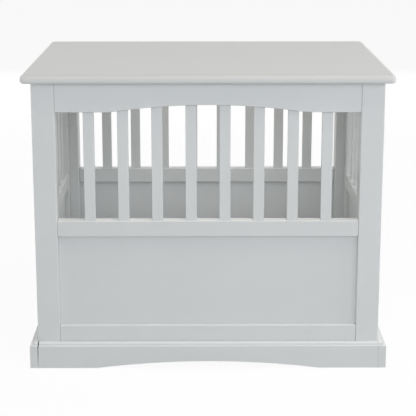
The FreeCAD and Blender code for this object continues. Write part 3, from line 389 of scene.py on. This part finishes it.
# the head's points are (back from the face, radius)
KNOB_HEAD = [(4.9, 1.8), (4.3, 2.0), (3.7, 2.7), (3.1, 3.5), (2.3, 3.93), (1.6, 3.99), (0.9, 3.8),
             (0.35, 3.3), (0.05, 2.6), (0.0, 2.2), (0.15, 1.5), (0.22, 0.0)]

low, high = node_limits("latch_knob")
knob_length = high[0] - low[0]
knob_start = (low[0], (low[1] + high[1]) / 2, (low[2] + high[2]) / 2)
knob_outline = KNOB_STEM + [(knob_length - back, radius) for back, radius in KNOB_HEAD]
turned_piece("turned_knob", [(knob_start, knob_outline)], ALONG_X, "slide_bolt", "latch_knob", satin_nickel)


# %% Bolt: a round nose that finds the keeper, and two fine rings cut at its tail
BOLT_TAIL = [(0.0, 0.0), (0.0, 2.3), (0.2, 2.7), (0.8, 2.98), (2.4, 3.0), (2.6, 2.75), (2.9, 2.75),
             (3.1, 3.0), (4.3, 3.0), (4.5, 2.75), (4.8, 2.75), (5.0, 3.0)]
# the nose's points are (back from the tip, radius)
BOLT_NOSE = [(2.6, 3.0), (1.8, 2.9), (1.0, 2.55), (0.4, 1.9), (0.08, 1.0), (0.0, 0.0)]

low, high = node_limits("latch_bolt")
bolt_length = high[1] - low[1]
bolt_start = ((low[0] + high[0]) / 2, low[1], (low[2] + high[2]) / 2)
bolt_outline = BOLT_TAIL + [(bolt_length - back, radius) for back, radius in BOLT_NOSE]
turned_piece("turned_bolt", [(bolt_start, bolt_outline)], ALONG_Y, "slide_bolt", "latch_bolt", satin_nickel)


# %% Hinge pins: two pins, each with a low domed head
PIN_SHANK = 50.0
PIN_FOOT = [(0.0, 0.0), (0.0, 0.8), (0.3, 1.12), (0.7, 1.2), (PIN_SHANK, 1.2)]
# the head's points are (above the shank, radius)
PIN_HEAD = [(0.0, 1.9), (0.15, 2.0), (0.4, 1.85), (0.62, 1.45), (0.75, 0.8), (0.8, 0.0)]

low, high = node_limits("hinge_pins")
pin_axis = ((low[0] + high[0]) / 2, (low[1] + high[1]) / 2)
pin_outline = PIN_FOOT + [(PIN_SHANK + rise, radius) for rise, radius in PIN_HEAD]
pin_height = pin_outline[-1][0]
pins = [((*pin_axis, foot), pin_outline) for foot in (low[2], high[2] - pin_height)]
turned_piece("turned_hinge_pins", pins, ALONG_Z, "crate", "hinge_pins", satin_nickel)


# %% [markdown]
# ## The table top
# The board's edge is a bullnose cut with a router: a larger round above, a smaller one below, and a
# short flat between. A bevel on a block makes it: first the four upright corners, then the whole rim.
# Even bevel segments and smooth shading keep the highlight along the nose clean.

# %% Table top shell
TOP_SIZE = (610.0, 457.0, 15.0)
TOP_HEIGHT = 502.0
CORNER_IN_PLAN, UPPER_NOSE, LOWER_NOSE = 9.5, 8.5, 5.0
CORNER_SEGMENTS, NOSE_SEGMENTS = 10, 8
SAME_HEIGHT = 1e-6
LEAST_RISE = 1e-4


def rim_edges(bm, level):
    """The edges that lie flat at a level and have an upright face beside them."""
    return [edge for edge in bm.edges
            if all(abs(vert.co.z - level) < SAME_HEIGHT for vert in edge.verts)
            and any(abs(face.normal.z) < 0.5 for face in edge.link_faces)]


bm = bmesh.new()
bmesh.ops.create_cube(bm, size=1.0)
bmesh.ops.scale(bm, vec=Vector(TOP_SIZE) * MM, verts=bm.verts)
bmesh.ops.translate(bm, vec=Vector((0, 0, (TOP_HEIGHT - TOP_SIZE[2] / 2) * MM)), verts=bm.verts)
uprights = [edge for edge in bm.edges if abs(edge.verts[0].co.z - edge.verts[1].co.z) > LEAST_RISE]
bmesh.ops.bevel(bm, geom=uprights, offset=CORNER_IN_PLAN * MM, segments=CORNER_SEGMENTS, profile=0.5,
                affect="EDGES", material=-1)
bm.normal_update()
for level, radius in ((TOP_HEIGHT, UPPER_NOSE), (TOP_HEIGHT - TOP_SIZE[2], LOWER_NOSE)):
    bmesh.ops.bevel(bm, geom=rim_edges(bm, level * MM), offset=radius * MM, segments=NOSE_SEGMENTS,
                    profile=0.5, affect="EDGES", material=-1)
    bm.normal_update()
for face in bm.faces:
    face.smooth = True
mesh = bpy.data.meshes.new("table_top_shell")
bm.to_mesh(mesh)
bm.free()
table_top_shell = bpy.data.objects.new("table_top_shell", mesh)
bpy.context.scene.collection.objects.link(table_top_shell)
table_top_shell.modifiers.new("flat_faces_stay_flat", "WEIGHTED_NORMAL")
table_top_shell.data.materials.append(table_coat)
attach(table_top_shell, "crate")
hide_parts("table_top")
print("table top faces:", len(mesh.polygons),
      "size mm:", [round(v / MM, 2) for v in table_top_shell.dimensions])


# %% [markdown]
# ## The studio
# The floor is a plain pale sheet. Seen directly it is nearly white, so most of it comes from emission
# that only camera, glossy and transmission rays see; the rest is diffuse and takes the table's shadow.
# For diffuse light it is an ordinary pale floor, which throws some of the lamps' light back up, as a
# studio's floor does. The world is made the same way: white where it is seen, dim where it lights.

# %% What is seen directly
def seen_directly(tree):
    """1 for the rays that show the studio, also in metal or through glass, and 0 for those that light."""
    rays = add_node(tree, "ShaderNodeLightPath")
    seen = add_node(tree, "ShaderNodeMath", {0: rays.outputs["Is Camera Ray"],
                                             1: rays.outputs["Is Glossy Ray"]}, operation="MAXIMUM")
    seen = add_node(tree, "ShaderNodeMath", {0: seen.outputs[0],
                                             1: rays.outputs["Is Transmission Ray"]}, operation="MAXIMUM")
    return seen.outputs[0]


# %% Floor
WHITE = (1.0, 1.0, 1.0, 1.0)
FLOOR_RADIUS = 30.0
FLOOR_SIDES = 64
GLOW_SHARE = 0.93              # of the floor, where it is seen; the rest takes the shadow
FLOOR_TINT = "#dcdcdc"         # for the light that it throws back

mesh = bpy.data.meshes.new("studio_floor")
bm = bmesh.new()
bmesh.ops.create_circle(bm, cap_ends=True, segments=FLOOR_SIDES, radius=FLOOR_RADIUS)
bm.to_mesh(mesh)
bm.free()
floor = bpy.data.objects.new("studio_floor", mesh)
bpy.context.scene.collection.objects.link(floor)

sheet, tree, output = new_finish("pale_studio_sheet")
seen = seen_directly(tree)
share = add_node(tree, "ShaderNodeMath", {0: seen, 1: GLOW_SHARE}, operation="MULTIPLY")
tint = add_node(tree, "ShaderNodeMix", {SHARE: seen, COLOUR_A: paint_colour(FLOOR_TINT), COLOUR_B: WHITE},
                data_type="RGBA")
lit = add_node(tree, "ShaderNodeBsdfDiffuse", {"Color": tint.outputs[MIXED]})
glow = add_node(tree, "ShaderNodeEmission", {"Color": WHITE, "Strength": 1.0})
blend = add_node(tree, "ShaderNodeMixShader", {0: share.outputs[0], 1: lit.outputs[0], 2: glow.outputs[0]})
tree.links.new(blend.outputs[0], output.inputs["Surface"])
floor.data.materials.append(sheet)
print("floor radius in m:", FLOOR_RADIUS)


# %% World
AMBIENT_COLOUR = "#f3f6f9"
AMBIENT_STRENGTH = 0.16

world = bpy.data.worlds.new("studio_world")
bpy.context.scene.world = world
world.use_nodes = True
tree = world.node_tree
tree.nodes.clear()
ambient = add_node(tree, "ShaderNodeBackground", {"Color": paint_colour(AMBIENT_COLOUR),
                                                  "Strength": AMBIENT_STRENGTH})
white = add_node(tree, "ShaderNodeBackground", {"Color": WHITE, "Strength": 1.0})
blend = add_node(tree, "ShaderNodeMixShader", {0: seen_directly(tree), 1: ambient.outputs[0],
                                               2: white.outputs[0]})
output = add_node(tree, "ShaderNodeOutputWorld")
tree.links.new(blend.outputs[0], output.inputs["Surface"])
print("world strength:", AMBIENT_STRENGTH)


# %% [markdown]
# ## Light
# The photograph is lit softly: the top is brightest, the right side is a little cooler and brighter than
# the left, and the inside keeps a clear middle grey. An even world alone would leave the inside nearly
# black, because little of it gets past the slats. So a broad lamp stands on each of the four sides: those
# at the ends and behind send light in through the slats without touching the front. A smaller lamp
# stands high at the front right and shines in through the door's slats, though the slanting shadow that it
# throws there hardly shows. The front lamp looks down a little, so that the table top throws a narrow
# shadow on the rail below it. One more lamp hangs high over the front edge, and makes what faces up and
# forward, such as the nose and the plinth's ledge, brighter than the flat faces beside it. Even so the
# inside stays darker than in a real white studio, where light bounces in from all around, so a weak lamp
# under the table top stands in for that.

# %% Lamps
MIDDLE = (0, 0, 0.30)
# name, place in m, width and height in m, watts, colour
STANDING_LAMPS = [
    ("front_lamp", (0.3, -3.1, 1.35), 2.6, 1.2, 39.5, "#f6faff"),
    ("back_lamp", (0.0, 3.2, 0.95), 2.6, 1.2, 38.0, "#fcfdff"),
    ("right_lamp", (3.0, -0.2, 0.9), 1.8, 1.2, 40.0, "#fcfdff"),
    ("left_lamp", (-3.0, -0.2, 0.9), 1.8, 1.2, 28.0, "#fdfaf6"),
    ("front_right_lamp", (2.3, -2.0, 1.9), 0.8, 0.8, 10.0, "#fcfdff"),
]


def soft_lamp(name, place, target, width, height, power, colour):
    """A rectangular lamp that is turned to a point."""
    data = bpy.data.lights.new(name, "AREA")
    data.shape = "RECTANGLE"
    data.size = width
    data.size_y = height
    data.energy = power
    data.color = paint_colour(colour)[:3]
    lamp = bpy.data.objects.new(name, data)
    lamp.location = place
    lamp.rotation_euler = (Vector(target) - Vector(place)).to_track_quat("-Z", "Y").to_euler()
    bpy.context.scene.collection.objects.link(lamp)
    return lamp


# seen at a low angle the satin top would mirror the lamps that stand round it
for name, place, width, height, power, colour in STANDING_LAMPS:
    lamp = soft_lamp(name, place, MIDDLE, width, height, power, colour)
    lamp.visible_glossy = False
soft_lamp("top_lamp", (0.4, -0.9, 3.0), MIDDLE, width=1.6, height=1.2, power=24.0, colour="#fff8ee")
# under the table top, facing down
fill = soft_lamp("inside_fill", (0, 0, 0.455), (0, 0, 0), width=0.44, height=0.30, power=0.34,
                 colour="#fffaf3")
fill.visible_camera = False
fill.visible_glossy = False


# %% [markdown]
# ## Camera
# The place was found from points whose real positions are known. The photograph was taken level, with
# the picture shifted; here the camera is tilted down instead and keeps only a small shift, so that the
# other views, which keep the shift, don't lose the object.

# %% Camera
CAMERA_PLACE = (-10.9 * MM, -2285.8 * MM, 804.5 * MM)
TILT_DOWN = 13.16              # degrees
TURN_RIGHT = 0.297             # degrees
FOCAL_LENGTH = 111.40          # mm, with the sensor's width
SENSOR_WIDTH = 36.0
PICTURE_SHIFT = -0.06          # of the picture's width
FARTHEST_SEEN = 100.0

camera_data = bpy.data.cameras.new("photo_camera")
camera_data.lens = FOCAL_LENGTH
camera_data.sensor_width = SENSOR_WIDTH
camera_data.shift_y = PICTURE_SHIFT
camera_data.clip_end = FARTHEST_SEEN
camera = bpy.data.objects.new("photo_camera", camera_data)
camera.location = CAMERA_PLACE
camera.rotation_euler = (math.radians(90 - TILT_DOWN), 0.0, math.radians(-TURN_RIGHT))
bpy.context.scene.collection.objects.link(camera)
bpy.context.scene.camera = camera
bpy.context.scene.view_settings.view_transform = "Standard"
print("camera at", tuple(round(v, 4) for v in camera.location))
